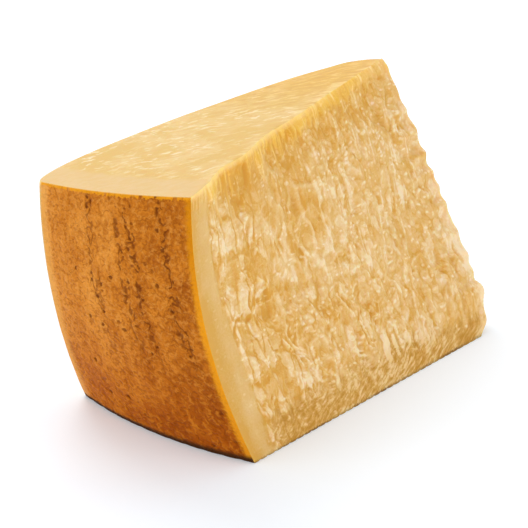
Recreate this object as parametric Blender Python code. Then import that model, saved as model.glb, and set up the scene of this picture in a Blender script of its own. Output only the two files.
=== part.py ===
"""A wedge of hard aged cheese, cut from the lower half of a barrel-shaped wheel.

The wheel's axis is vertical. The rind faces -X, the tip +X, the rough broken face -Y and the hidden
broken face +Y. The wheel's flat foot lies on z = 0 and the knife-cut top slopes gently. All sizes are
in metres. The shape is worked out about the wheel's axis and then centred over its own footprint.
"""
import math

import bmesh
import bpy
from mathutils import Vector, noise

MM = 0.001

# The wheel: radius at its middle height, half its height, and how its side draws in towards the foot
WHEEL_RADIUS = 0.214
HALF_HEIGHT = 0.110
DRAW_IN = 0.031
BARREL_POWER = 1.86

# Angles of the rind's two upright edges about the axis, from -X, at the top and at the foot
NEAR_TOP_ANGLE = math.radians(11.4)
NEAR_FOOT_ANGLE = math.radians(13.6)
FAR_TOP_ANGLE = math.radians(-9.8)
FAR_FOOT_ANGLE = math.radians(-16.9)
NEAR_ANGLE_BOW = math.radians(-0.75)
FAR_ANGLE_BOW = math.radians(0.75)

# The tip: where the rough face ends at the top and at the foot, and the blunt end behind it
TIP_TOP = Vector((-0.0184, 0.0315))
TIP_FOOT = Vector((-0.0118, -0.0212))
TIP_WIDTH = 0.020
TIP_TOP_HEADING = math.radians(140)
TIP_FOOT_HEADING = math.radians(115)
TIP_ROUND = 0.0045
TIP_BOW = 0.0118
TIP_BOW_LOWER = 0.60

# How far the tip's corners are drawn towards the rind at the top and foot, and over what share of its
# height
TIP_TOP_DRAWN = 0.0012
TIP_TOP_SPREAD = 0.020
TIP_FOOT_DRAWN = 0.0036
TIP_FOOT_SPREAD = 0.030

# The knife-cut top: its height over the near rind corner and its slopes along X and Y
TOP_HEIGHT = 0.1137
TOP_SLOPE_X = 0.052
TOP_SLOPE_Y = -0.144

# Bulge of the hidden face at the top and at the foot, and where along it the bulge is fullest
FAR_BULGE_TOP = 0.0132
FAR_BULGE_FOOT = 0.008
FAR_BULGE_SKEW = 0.8
FAR_BULGE_FLATNESS = 0.65

# Hollows of the rough face's top edge: place along it, width, and depth inwards.
# They fade out below the edge with a power of the height.
EDGE_WAVES = ((0.178, 0.070, 0.0036), (0.403, 0.111, 0.0030), (0.616, 0.388, 0.0032))
EDGE_WAVE_POWER = 4

# Crags on the broken faces: size of a plate, its step, its tilt, and the grooves round it
PLATE_WIDTH = 0.0085
PLATE_HEIGHT = 0.0150
PLATE_STEP = 0.0022
PLATE_TILT = 0.0026
GROOVE_WIDTH = 0.16
GROOVE_DEPTH = 0.00066

# Broad swells under the crags
SWELL = 0.0022
SWELL_LENGTH = 0.034

# Seeds of the crags on the two broken faces, and the factors that scatter step and tilt by plate
NEAR_SEED = 1.0
FAR_SEED = 7.0
STEP_SCATTER = 31.7
TILT_SCATTER = 17.3

# Smooth margins that frame the crags: beside the rind, along the foot and under the top edge
RIND_MARGIN = 0.0100
FOOT_MARGIN = 0.0110
TOP_MARGIN = 0.0050
TOP_MARGIN_START = 0.0015
MARGIN_FADE = 0.0060

# Scallops down the tip: the height of each crest or notch as a share of the tip, its spread, and how
# far it stands out. They fade out along the last part of the length.
SCALLOPS = (
    (0.040, 0.022, 0.0013),
    (0.125, 0.030, 0.0019),
    (0.165, 0.013, -0.0012),
    (0.252, 0.028, 0.0011),
    (0.332, 0.022, 0.0015),
    (0.430, 0.019, 0.0012),
    (0.500, 0.018, 0.0009),
    (0.553, 0.015, 0.0009),
    (0.620, 0.018, 0.0012),
    (0.708, 0.021, 0.0019),
    (0.792, 0.018, 0.0012),
    (0.870, 0.024, 0.0006),
)
SCALLOP_START = 0.88

# Unevenness of the rind and of the knife cut
RIND_UNEVEN = 0.0005
RIND_UNEVEN_LENGTH = 0.016
CUT_UNEVEN = 0.0003
CUT_UNEVEN_LENGTH = 0.030

# Cells of the starting block along, across and up, and the share of triangles kept at the end
CELLS_ALONG = 84
CELLS_ACROSS = 30
CELLS_UP = 44
KEPT_SHARE = 0.27

# Step in block coordinates for measuring the surface's direction
NORMAL_STEP = 0.004

# Edge softening: edges that turn more than this are drawn in by this much
EDGE_TURN = math.radians(50)
EDGE_ROUND = 0.0016
SHADE_LIMIT = math.radians(40)

# Points this close to the floor belong to the flat foot
FOOT_FLAT = 0.00005

CHEESE_COLOUR = (0.75, 0.48, 0.16, 1.0)
CHEESE_ROUGHNESS = 0.55


def mix(a, b, share):
    return a + (b - a) * share


def smooth(value, low, high):
    """A smooth ramp from 0 at low to 1 at high."""
    x = min(max((value - low) / (high - low), 0.0), 1.0)
    return x * x * (3.0 - 2.0 * x)


def clear_scene():
    for item in list(bpy.data.objects):
        bpy.data.objects.remove(item, do_unlink=True)


def new_collection(name):
    collection = bpy.data.collections.new(name)
    bpy.context.scene.collection.children.link(collection)
    return collection


def top_height(x, y):
    """Height of the knife cut over a point of the plan."""
    corner_x = -WHEEL_RADIUS * math.cos(NEAR_TOP_ANGLE)
    corner_y = -WHEEL_RADIUS * math.sin(NEAR_TOP_ANGLE)
    return TOP_HEIGHT + TOP_SLOPE_X * (x - corner_x) + TOP_SLOPE_Y * (y - corner_y)


def barrel_radius(z):
    below_middle = max(0.0, 1.0 - z / HALF_HEIGHT)
    return WHEEL_RADIUS - DRAW_IN * below_middle ** BARREL_POWER


def rind_point(across, up):
    """Plan point of the rind: across runs from the near to the far edge, up from foot to top."""
    bow = math.sin(math.pi * up)
    near = mix(NEAR_FOOT_ANGLE, NEAR_TOP_ANGLE, up) + NEAR_ANGLE_BOW * bow
    far = mix(FAR_FOOT_ANGLE, FAR_TOP_ANGLE, up) + FAR_ANGLE_BOW * bow
    angle = mix(near, far, across)
    z = up * top_height(-WHEEL_RADIUS * math.cos(angle), -WHEEL_RADIUS * math.sin(angle))
    radius = barrel_radius(z)
    return Vector((-radius * math.cos(angle), -radius * math.sin(angle)))


def corner_draw(up):
    """How far the tip is drawn towards the rind near its top and foot corners."""
    top = TIP_TOP_DRAWN * math.exp(-((1.0 - up) / TIP_TOP_SPREAD) ** 2)
    foot = TIP_FOOT_DRAWN * math.exp(-(up / TIP_FOOT_SPREAD) ** 2)
    return top + foot


def tip_point(across, up):
    """Plan point of the blunt tip, which leans sideways and bows out between top and foot."""
    near = mix(TIP_FOOT, TIP_TOP, up) - Vector((corner_draw(up), 0.0))
    heading = mix(TIP_FOOT_HEADING, TIP_TOP_HEADING, up)
    run = Vector((math.cos(heading), math.sin(heading)))
    outward = Vector((run.y, -run.x))
    bow = TIP_BOW * math.sin(math.pi * up ** TIP_BOW_LOWER)
    point = near + run * (TIP_WIDTH * across)
    return point + outward * (TIP_ROUND * math.sin(math.pi * across) + bow)


def near_edge(along, up):
    """Plan point of the rough face at one height, from the rind to the tip."""
    start = rind_point(0.0, up)
    end = tip_point(0.0, up)
    inward = Vector((start.y - end.y, end.x - start.x)).normalized()
    depth = sum(deep * math.exp(-((along - place) / width) ** 2) for place, width, deep in EDGE_WAVES)
    return mix(start, end, along) + inward * (depth * up ** EDGE_WAVE_POWER)


def far_edge(along, up):
    """Plan point of the hidden face at one height, bulging away from a straight cut."""
    start = rind_point(1.0, up)
    end = tip_point(1.0, up)
    outward = Vector((start.y - end.y, end.x - start.x)).normalized()
    skewed = along ** FAR_BULGE_SKEW
    fullness = (4.0 * skewed * (1.0 - skewed)) ** FAR_BULGE_FLATNESS
    return mix(start, end, along) + outward * (fullness * mix(FAR_BULGE_FOOT, FAR_BULGE_TOP, up))


def shaped(along, across, up):
    """Point of the wedge for a point of the unit block, blended from the four side faces."""
    sides = mix(near_edge(along, up), far_edge(along, up), across)
    ends = mix(rind_point(across, up), tip_point(across, up), along)
    near_corners = mix(rind_point(0.0, up), tip_point(0.0, up), along)
    far_corners = mix(rind_point(1.0, up), tip_point(1.0, up), along)
    plan = sides + ends - mix(near_corners, far_corners, across)
    return Vector((plan.x, plan.y, up * top_height(plan.x, plan.y)))


def plates(u, v, seed):
    """Height of the crags: tilted plates of broken curd with grooves between them."""
    place = Vector((u / PLATE_WIDTH, v / PLATE_HEIGHT, seed))
    distances, centres = noise.voronoi(place)
    centre = centres[0]
    step = noise.cell(centre * STEP_SCATTER) - 0.5
    tilt = noise.cell_vector(centre * TILT_SCATTER)
    offset = place - centre
    lean = (tilt.x - 0.5) * offset.x + (tilt.y - 0.5) * offset.y
    plate = smooth(distances[1] - distances[0], 0.0, GROOVE_WIDTH)
    return plate * (PLATE_STEP * step + PLATE_TILT * lean) - (1.0 - plate) * GROOVE_DEPTH


def crags(along, point, seed):
    """Outward relief of a broken face, faded towards its smooth margins."""
    length = along * WHEEL_RADIUS
    below_top = top_height(point.x, point.y) - point.z
    fade = smooth(length, RIND_MARGIN, RIND_MARGIN + MARGIN_FADE)
    fade *= smooth(point.z, FOOT_MARGIN - MARGIN_FADE, FOOT_MARGIN)
    fade *= smooth(below_top, TOP_MARGIN_START, TOP_MARGIN)
    swell = noise.noise(Vector((length, point.z, seed * MM)) / SWELL_LENGTH)
    return fade * (plates(length, point.z, seed) + SWELL * swell)


def scallop(along, up):
    """Rounded bumps down the tip, fading out within a few centimetres of it."""
    fade = smooth(along, SCALLOP_START, 1.0)
    return fade * sum(high * math.exp(-((up - crest) / spread) ** 2) for crest, spread, high in SCALLOPS)


def block_normal(along, across, up):
    """Outward direction of the wedge's surface at a point of the unit block's surface."""
    low = [max(c - NORMAL_STEP, 0.0) for c in (along, across, up)]
    high = [min(c + NORMAL_STEP, 1.0) for c in (along, across, up)]
    by_along = shaped(high[0], across, up) - shaped(low[0], across, up)
    by_across = shaped(along, high[1], up) - shaped(along, low[1], up)
    by_up = shaped(along, across, high[2]) - shaped(along, across, low[2])
    directions = (
        (along == 0.0, by_across.cross(by_up) * -1.0),
        (along == 1.0, by_across.cross(by_up)),
        (across == 0.0, by_along.cross(by_up)),
        (across == 1.0, by_along.cross(by_up) * -1.0),
        (up == 1.0, by_along.cross(by_across)),
    )
    normal = Vector((0.0, 0.0, 0.0))
    for on_face, direction in directions:
        if on_face:
            normal += direction.normalized()
    return normal.normalized() if normal.length > 0.0 else normal


def relief(along, across, up, point):
    """Outward relief of the surface at a point of the unit block's surface."""
    height = scallop(along, up)
    if across == 0.0:
        height += crags(along, point, NEAR_SEED)
    if across == 1.0:
        height += crags(along, point, FAR_SEED)
    if along == 0.0:
        height += RIND_UNEVEN * noise.noise(point / RIND_UNEVEN_LENGTH)
    if up == 1.0:
        height += CUT_UNEVEN * noise.noise(point / CUT_UNEVEN_LENGTH)
    return height


def cut_block():
    """A unit cube primitive, cut into cells along each of its three directions."""
    bpy.ops.mesh.primitive_cube_add(size=1.0)
    block = bpy.context.active_object
    bm = bmesh.new()
    bm.from_mesh(block.data)
    bmesh.ops.translate(bm, verts=bm.verts, vec=(0.5, 0.5, 0.5))
    for axis, cells in enumerate((CELLS_ALONG, CELLS_ACROSS, CELLS_UP)):
        parallel = [e for e in bm.edges if abs(e.verts[0].co[axis] - e.verts[1].co[axis]) > 0.5]
        bmesh.ops.subdivide_edges(bm, edges=parallel, cuts=cells - 1, use_grid_fill=True)
    return block, bm


def on_grid(value, cells):
    """A block coordinate snapped to its cell line, so that faces are told apart exactly."""
    return round(value * cells) / cells


def shape_block(bm):
    """Move every point of the cut block to its place on the wedge and raise its relief."""
    for vert in bm.verts:
        along = on_grid(vert.co.x, CELLS_ALONG)
        across = on_grid(vert.co.y, CELLS_ACROSS)
        up = on_grid(vert.co.z, CELLS_UP)
        point = shaped(along, across, up)
        height = relief(along, across, up, point)
        vert.co = point + block_normal(along, across, up) * height
        if up == 0.0:
            vert.co.z = 0.0


def round_edges(bm):
    """Soften the long edges a little, keeping the foot flat on z = 0."""
    sharp = [e for e in bm.edges if e.calc_face_angle(0.0) > EDGE_TURN]
    moved = {}
    for vert in {v for e in sharp for v in e.verts}:
        ring = [e.other_vert(vert).co for e in vert.link_edges]
        pull = sum(ring, Vector()) / len(ring) - vert.co
        moved[vert] = vert.co + pull * (EDGE_ROUND / max(pull.length, EDGE_ROUND))
    for vert, place in moved.items():
        on_floor = vert.co.z == 0.0
        vert.co = place
        if on_floor:
            vert.co.z = 0.0


def centre_footprint(bm):
    """Bring the middle of the plan box over the origin."""
    xs = [v.co.x for v in bm.verts]
    ys = [v.co.y for v in bm.verts]
    middle = Vector(((min(xs) + max(xs)) / 2.0, (min(ys) + max(ys)) / 2.0, 0.0))
    bmesh.ops.translate(bm, verts=bm.verts, vec=-middle)


def thin_out(block):
    """Keep triangles where the crags need them, and set the foot exactly flat again."""
    modifier = block.modifiers.new("thin_out", "DECIMATE")
    modifier.decimate_type = "COLLAPSE"
    modifier.ratio = KEPT_SHARE
    bpy.ops.object.modifier_apply(modifier=modifier.name)
    for vert in block.data.vertices:
        if vert.co.z < FOOT_FLAT:
            vert.co.z = 0.0


def cheese_material():
    material = bpy.data.materials.new("aged_cheese")
    material.use_nodes = True
    shader = material.node_tree.nodes["Principled BSDF"]
    shader.inputs["Base Color"].default_value = CHEESE_COLOUR
    shader.inputs["Roughness"].default_value = CHEESE_ROUGHNESS
    shader.inputs["Metallic"].default_value = 0.0
    return material


def make_cheese(collection):
    block, bm = cut_block()
    shape_block(bm)
    round_edges(bm)
    centre_footprint(bm)
    bmesh.ops.recalc_face_normals(bm, faces=bm.faces)
    bm.to_mesh(block.data)
    bm.free()
    thin_out(block)
    block.name = "cheese_wedge"
    block.data.name = "cheese_wedge"
    block.data.shade_smooth()
    block.data.set_sharp_from_angle(angle=SHADE_LIMIT)
    block.data.materials.append(cheese_material())
    for owner in list(block.users_collection):
        owner.objects.unlink(block)
    collection.objects.link(block)


def main():
    clear_scene()
    make_cheese(new_collection("parmesan_cheese"))


main()
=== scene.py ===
import math

import bpy
import numpy as np
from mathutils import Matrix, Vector, noise


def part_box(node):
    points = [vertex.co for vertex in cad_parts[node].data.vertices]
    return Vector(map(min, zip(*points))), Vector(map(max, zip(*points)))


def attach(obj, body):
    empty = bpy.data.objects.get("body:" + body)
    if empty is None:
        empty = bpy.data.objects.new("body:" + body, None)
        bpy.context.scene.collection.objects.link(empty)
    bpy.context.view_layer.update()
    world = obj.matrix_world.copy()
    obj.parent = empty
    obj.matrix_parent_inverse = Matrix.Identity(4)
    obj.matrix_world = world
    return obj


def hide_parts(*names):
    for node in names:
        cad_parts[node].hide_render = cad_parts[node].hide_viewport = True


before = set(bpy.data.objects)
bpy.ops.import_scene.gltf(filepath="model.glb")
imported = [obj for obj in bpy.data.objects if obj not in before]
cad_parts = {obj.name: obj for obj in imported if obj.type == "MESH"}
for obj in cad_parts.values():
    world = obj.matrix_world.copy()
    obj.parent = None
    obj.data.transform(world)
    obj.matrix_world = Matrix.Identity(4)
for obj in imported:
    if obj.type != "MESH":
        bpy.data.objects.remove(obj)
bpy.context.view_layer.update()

# The wedge's own measures, in metres and radians, as its solid has them. A height or depth along an
# edge is (place from 0 to 1, width there, height).
MM = 0.001
WHEEL_RADIUS = 0.214
HALF_HEIGHT = 0.110
DRAW_IN = 0.031
BARREL_POWER = 1.86
NEAR_TOP_ANGLE = math.radians(11.4)
NEAR_FOOT_ANGLE = math.radians(13.6)
FAR_TOP_ANGLE = math.radians(-9.8)
FAR_FOOT_ANGLE = math.radians(-16.9)
NEAR_ANGLE_BOW = math.radians(-0.75)
FAR_ANGLE_BOW = math.radians(0.75)
TIP_TOP = (-0.0184, 0.0315)
TIP_FOOT = (-0.0118, -0.0212)
TIP_WIDTH = 0.020
TIP_TOP_HEADING = math.radians(140)
TIP_FOOT_HEADING = math.radians(115)
TIP_ROUND = 0.0045
TIP_BOW = 0.0118
TIP_BOW_LOWER = 0.60
TIP_TOP_DRAWN = 0.0012
TIP_TOP_SPREAD = 0.020
TIP_FOOT_DRAWN = 0.0036
TIP_FOOT_SPREAD = 0.030
TOP_HEIGHT = 0.1137
TOP_SLOPE_X = 0.052
TOP_SLOPE_Y = -0.144
FAR_BULGE_TOP = 0.0132
FAR_BULGE_FOOT = 0.008
FAR_BULGE_SKEW = 0.8
FAR_BULGE_FLATNESS = 0.65
EDGE_WAVES = ((0.178, 0.070, 0.0036), (0.403, 0.111, 0.0030), (0.616, 0.388, 0.0032))
EDGE_WAVE_POWER = 4
PLATE_WIDTH = 0.0085
PLATE_HEIGHT = 0.0150
PLATE_STEP = 0.0022
PLATE_TILT = 0.0026
GROOVE_WIDTH = 0.16
GROOVE_DEPTH = 0.00066
SWELL = 0.0022
SWELL_LENGTH = 0.034
NEAR_SEED = 1
FAR_SEED = 7
STEP_SCATTER = 31.7
TILT_SCATTER = 17.3
RIND_MARGIN = 0.0135
FOOT_MARGIN = 0.0110
TOP_MARGIN = 0.0050
TOP_MARGIN_START = 0.0015
MARGIN_FADE = 0.0060
SCALLOPS = (
    (0.040, 0.022, 0.0013), (0.125, 0.030, 0.0019), (0.165, 0.013, -0.0012), (0.252, 0.028, 0.0011),
    (0.332, 0.022, 0.0015), (0.430, 0.019, 0.0012), (0.500, 0.018, 0.0009), (0.553, 0.015, 0.0009),
    (0.620, 0.018, 0.0012), (0.708, 0.021, 0.0019), (0.792, 0.018, 0.0012), (0.870, 0.024, 0.0006),
)
SCALLOP_START = 0.88
BEAD_START = 0.93
BEAD_LENGTH = 4.6
BEAD_HEIGHT = 0.0009
BEAD_DRIFT = 6
BEAD_ROW = 3

# The rough face's top edge: reach below it and wave lengths and heights in millimetres, with each
# wave's own row of the noise
RAGGED_REACH = 4
RAGGED_START = (0.02, 0.08)
RAGGED_LEAST = 0.02
RAGGED_WAVES = ((9, 3, 2), (3.5, 9, 0.9))

# Shares of the reliefs in the skin, and the soft unevenness of rind and cut in metres
CRAG_SHARE = 0.35
FINE_SHARE = 0.42
RIND_SHARE = 0.6
RIND_UNEVEN = 0.0005
RIND_UNEVEN_LENGTH = 0.016
CUT_UNEVEN = 0.0003
CUT_UNEVEN_LENGTH = 0.030

# Cells of the skin along, across and up; faces that the eye meets less closely take coarser cells
CELLS = (272, 96, 192)
TIGHT_CELLS = (0.35, 0.5, 0.7, 0.85)
NORMAL_STEP = 0.004

# Lengths of the block's three directions in millimetres, for the grain of the materials
GRAIN_LENGTH = 200
GRAIN_HEIGHT = 115
GRAIN_WIDTH_RIND = 90
GRAIN_WIDTH_TIP = 22

# Edge softening: reach along the surface in metres, strength, least weight that counts, and rounds
EDGE_REACH = 0.0009
EDGE_STRENGTH = 0.6
EDGE_LEAST = 0.01
EDGE_ROUNDS = 3

# Where the fine relief dies out beside the edges, in millimetres from them
TOP_FADE = (0, 1)
FOOT_FADE = (0.5, 3)
RIND_FADE = (1, 4)
RIND_EDGE_FADE = (0.5, 2.5)


def mix(a, b, share):
    return a + (b - a) * share


def smooth(value, low, high):
    x = np.clip((value - low) / (high - low), 0, 1)
    return x * x * (3 - 2 * x)


def top_height(x, y):
    corner_x = -WHEEL_RADIUS * math.cos(NEAR_TOP_ANGLE)
    corner_y = -WHEEL_RADIUS * math.sin(NEAR_TOP_ANGLE)
    return TOP_HEIGHT + TOP_SLOPE_X * (x - corner_x) + TOP_SLOPE_Y * (y - corner_y)


def barrel_radius(z):
    return WHEEL_RADIUS - DRAW_IN * np.maximum(0, 1 - z / HALF_HEIGHT) ** BARREL_POWER


def rind_plan(across, up):
    bow = np.sin(np.pi * up)
    near = mix(NEAR_FOOT_ANGLE, NEAR_TOP_ANGLE, up) + NEAR_ANGLE_BOW * bow
    far = mix(FAR_FOOT_ANGLE, FAR_TOP_ANGLE, up) + FAR_ANGLE_BOW * bow
    angle = mix(near, far, across)
    z = up * top_height(-WHEEL_RADIUS * np.cos(angle), -WHEEL_RADIUS * np.sin(angle))
    radius = barrel_radius(z)
    return np.stack((-radius * np.cos(angle), -radius * np.sin(angle)), -1)


def corner_draw(up):
    top = TIP_TOP_DRAWN * np.exp(-((1 - up) / TIP_TOP_SPREAD) ** 2)
    foot = TIP_FOOT_DRAWN * np.exp(-(up / TIP_FOOT_SPREAD) ** 2)
    return top + foot


def tip_plan(across, up):
    near = mix(np.array(TIP_FOOT), np.array(TIP_TOP), up[..., None])
    heading = mix(TIP_FOOT_HEADING, TIP_TOP_HEADING, up)
    run = np.stack((np.cos(heading), np.sin(heading)), -1)
    near[..., 0] -= corner_draw(up)
    outward = np.stack((run[..., 1], -run[..., 0]), -1)
    bow = TIP_BOW * np.sin(np.pi * up ** TIP_BOW_LOWER)
    reach = TIP_ROUND * np.sin(np.pi * across) + bow
    return near + run * (TIP_WIDTH * across)[..., None] + outward * reach[..., None]


def sideways(start, end):
    """Unit vector square to the line from start to end, to its left."""
    run = end - start
    side = np.stack((-run[..., 1], run[..., 0]), -1)
    return side / np.linalg.norm(side, axis=-1, keepdims=True)


def near_plan(along, up):
    start, end = rind_plan(np.zeros_like(up), up), tip_plan(np.zeros_like(up), up)
    depth = sum(deep * np.exp(-((along - place) / width) ** 2) for place, width, deep in EDGE_WAVES)
    inward = sideways(start, end)
    return mix(start, end, along[..., None]) + inward * (depth * up ** EDGE_WAVE_POWER)[..., None]


def far_plan(along, up):
    start, end = rind_plan(np.ones_like(up), up), tip_plan(np.ones_like(up), up)
    skewed = along ** FAR_BULGE_SKEW
    fullness = np.maximum(4 * skewed * (1 - skewed), 0) ** FAR_BULGE_FLATNESS
    bulge = fullness * mix(FAR_BULGE_FOOT, FAR_BULGE_TOP, up)
    return mix(start, end, along[..., None]) + sideways(start, end) * bulge[..., None]


def shaped(along, across, up):
    """Points of the wedge for points of the unit block, blended from the four side faces."""
    zero, one = np.zeros_like(up), np.ones_like(up)
    far_share, tip_share = across[..., None], along[..., None]
    sides = mix(near_plan(along, up), far_plan(along, up), far_share)
    ends = mix(rind_plan(across, up), tip_plan(across, up), tip_share)
    near_corners = mix(rind_plan(zero, up), tip_plan(zero, up), tip_share)
    far_corners = mix(rind_plan(one, up), tip_plan(one, up), tip_share)
    plan = sides + ends - mix(near_corners, far_corners, far_share)
    z = up * top_height(plan[..., 0], plan[..., 1])
    return np.concatenate((plan, z[..., None]), -1)


def plates(u, v, seed):
    """Height of the crags: tilted plates of broken curd with grooves between them."""
    place = Vector((u / PLATE_WIDTH, v / PLATE_HEIGHT, seed))
    distances, centres = noise.voronoi(place)
    centre = centres[0]
    step = noise.cell(centre * STEP_SCATTER) - 0.5
    tilt = noise.cell_vector(centre * TILT_SCATTER)
    offset = place - centre
    lean = (tilt.x - 0.5) * offset.x + (tilt.y - 0.5) * offset.y
    share = min(max((distances[1] - distances[0]) / GROOVE_WIDTH, 0), 1)
    plate = share * share * (3 - 2 * share)
    return plate * (PLATE_STEP * step + PLATE_TILT * lean) - (1 - plate) * GROOVE_DEPTH


def crags(along, points, seed):
    """Outward relief of a broken face, faded towards its smooth margins."""
    length = along * WHEEL_RADIUS
    z = points[:, 2]
    below_top = top_height(points[:, 0], points[:, 1]) - z
    fade = smooth(length, RIND_MARGIN, RIND_MARGIN + MARGIN_FADE)
    fade *= smooth(z, FOOT_MARGIN - MARGIN_FADE, FOOT_MARGIN)
    fade *= smooth(below_top, TOP_MARGIN_START, TOP_MARGIN)
    rough = np.zeros(len(z))
    for i in np.flatnonzero(fade > 0):
        swell = noise.noise(Vector((length[i], z[i], seed * MM)) / SWELL_LENGTH)
        rough[i] = CRAG_SHARE * plates(length[i], z[i], seed) + SWELL * swell
    return fade * rough


def scallops(along, up):
    ripple = sum(high * np.exp(-((up - crest) / spread) ** 2) for crest, spread, high in SCALLOPS)
    return smooth(along, SCALLOP_START, 1) * ripple


def beads(along, up):
    """Small beads and notches on the tip's rims, between the large scallops, in metres."""
    out = np.zeros(len(along))
    share = smooth(along, BEAD_START, 1)
    for i in np.flatnonzero(share > 0):
        place = up[i] * GRAIN_HEIGHT / BEAD_LENGTH
        out[i] = BEAD_HEIGHT * noise.noise(Vector((BEAD_ROW, along[i] * BEAD_DRIFT, place)))
    return out * share


def uneven(points, chosen, height, length):
    """Soft unevenness of the chosen points, in metres."""
    out = np.zeros(len(points))
    for i in np.flatnonzero(chosen):
        out[i] = height * noise.noise(Vector(points[i]) / length)
    return out


def ragged_edge(along, below_top):
    """Small drips and notches of the rough face's top edge, in metres, dying out below it."""
    out = np.zeros(len(along))
    share = np.exp(-below_top / RAGGED_REACH) * smooth(along, *RAGGED_START)
    for i in np.flatnonzero(share > RAGGED_LEAST):
        place = along[i] * GRAIN_LENGTH
        for length, row, high in RAGGED_WAVES:
            out[i] += high * noise.noise(Vector((place / length, row, 0)))
    return out * share * MM


def outward(along, across, up):
    """Outward direction at points of the block's surface, averaged where faces meet."""
    coords = (along, across, up)
    low = [np.maximum(c - NORMAL_STEP, 0) for c in coords]
    high = [np.minimum(c + NORMAL_STEP, 1) for c in coords]
    by_along = shaped(high[0], across, up) - shaped(low[0], across, up)
    by_across = shaped(along, high[1], up) - shaped(along, low[1], up)
    by_up = shaped(along, across, high[2]) - shaped(along, across, low[2])
    directions = (
        (along == 0, -np.cross(by_across, by_up)),
        (along == 1, np.cross(by_across, by_up)),
        (across == 0, np.cross(by_along, by_up)),
        (across == 1, -np.cross(by_along, by_up)),
        (up == 1, np.cross(by_along, by_across)),
    )
    total = np.zeros_like(by_up)
    for on_face, direction in directions:
        unit = direction / np.linalg.norm(direction, axis=-1, keepdims=True)
        total += np.where(on_face[:, None], unit, 0)
    return total / np.maximum(np.linalg.norm(total, axis=-1, keepdims=True), 1e-9)


# The skin: one closed lattice over the block's six faces. For each face: its place in the lattice, how
# many fine cells a ring spans, and whether its rings turn the other way.
NEAR, FAR, RIND, TIP, TOP, FOOT = range(6)
FACES = {
    NEAR: ((slice(None), 0, slice(None)), 1, False),
    FAR: ((slice(None), -1, slice(None)), 2, True),
    RIND: ((0, slice(None), slice(None)), 1, True),
    TIP: ((-1, slice(None), slice(None)), 2, False),
    TOP: ((slice(None), slice(None), -1), 2, False),
    FOOT: ((slice(None), slice(None), 0), 8, True),
}


def cell_lines(cells):
    """Places of the cell lines from 0 to 1, closer together at both ends."""
    widths = np.ones(cells)
    widths[:len(TIGHT_CELLS)] = TIGHT_CELLS
    widths[-len(TIGHT_CELLS):] = TIGHT_CELLS[::-1]
    lines = np.concatenate(([0], np.cumsum(widths)))
    lines /= lines[-1]
    lines[-1] = 1
    return lines


def cell_ring(grid, i, j, step):
    """Indices round one cell, with the fine points of the face's own border on it."""
    last_i, last_j = grid.shape[0] - 1, grid.shape[1] - 1
    low = range(i, i + step, 1 if j == 0 else step)
    right = range(j, j + step, 1 if i + step == last_i else step)
    high = range(i + step, i, -1 if j + step == last_j else -step)
    left = range(j + step, j, -1 if i == 0 else -step)
    ring = [grid[k, j] for k in low] + [grid[i + step, k] for k in right]
    return ring + [grid[k, j + step] for k in high] + [grid[i, k] for k in left]


def face_rings(grid, step, turned):
    """Rings of point indices that cover one face."""
    if step == 1:
        rings = np.stack((grid[:-1, :-1], grid[1:, :-1], grid[1:, 1:], grid[:-1, 1:]), -1)
        rings = rings.reshape(-1, 4).tolist()
    else:
        rows, columns = grid.shape[0] - 1, grid.shape[1] - 1
        starts = [(i, j) for i in range(0, rows, step) for j in range(0, columns, step)]
        rings = [cell_ring(grid, i, j, step) for i, j in starts]
    return [ring[::-1] for ring in rings] if turned else rings


def lattice():
    """Block coordinates of the skin's points, its rings of indices, and each ring's face."""
    used = np.zeros([n + 1 for n in CELLS], bool)
    for place, step, _ in FACES.values():
        face = used[place]
        face[::step, ::step] = True
        face[[0, -1], :] = True
        face[:, [0, -1]] = True
    index = np.full(used.shape, -1)
    index[used] = np.arange(used.sum())
    rings, owners = [], []
    for face, (place, step, turned) in FACES.items():
        made = face_rings(index[place], step, turned)
        rings += made
        owners += [face] * len(made)
    lines = [cell_lines(n) for n in CELLS]
    cells = np.argwhere(used)
    coords = [lines[axis][cells[:, axis]] for axis in range(3)]
    return coords, rings, owners


def grain_places(along, across, up):
    """Block coordinates in millimetres: they run with the edges, so the grain does too."""
    width = mix(GRAIN_WIDTH_RIND, GRAIN_WIDTH_TIP, along)
    return np.stack((along * GRAIN_LENGTH, across * width, up * GRAIN_HEIGHT), -1)


def soften_edges(mesh, points, coords):
    """Round the block's edges by smoothing the points close to them."""
    spans = []
    for c, length in zip(coords, (GRAIN_LENGTH, GRAIN_WIDTH_RIND, GRAIN_HEIGHT)):
        spans.append(np.minimum(c, 1 - c) * length * MM)
    to_edge = np.sort(np.stack(spans, -1), axis=-1)[:, 1]
    weight = EDGE_STRENGTH * np.exp(-(to_edge / EDGE_REACH) ** 2)
    pairs = np.empty(len(mesh.edges) * 2, np.int32)
    mesh.edges.foreach_get("vertices", pairs)
    pairs = pairs.reshape(-1, 2)
    pairs = pairs[(weight[pairs] > EDGE_LEAST).any(1)]
    for _ in range(EDGE_ROUNDS):
        total = np.zeros_like(points)
        count = np.zeros(len(points))
        for a, b in ((0, 1), (1, 0)):
            np.add.at(total, pairs[:, a], points[pairs[:, b]])
            np.add.at(count, pairs[:, a], 1)
        mean = total / np.maximum(count, 1)[:, None]
        points = np.where((count > 0)[:, None], mix(points, mean, weight[:, None]), points)
    points[:, 2] = np.maximum(points[:, 2], 0)
    return points


def add_point_vectors(mesh, name, values):
    data = mesh.attributes.new(name, "FLOAT_VECTOR", "POINT").data
    data.foreach_set("vector", values.astype(np.float32).ravel())


def read_point_data(obj, name):
    """Values of a float attribute on the object's evaluated mesh."""
    seen = obj.evaluated_get(bpy.context.evaluated_depsgraph_get())
    data = seen.data.attributes[name].data
    values = np.empty(len(data), np.float32)
    data.foreach_get("value", values)
    return values.astype(float)


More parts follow.
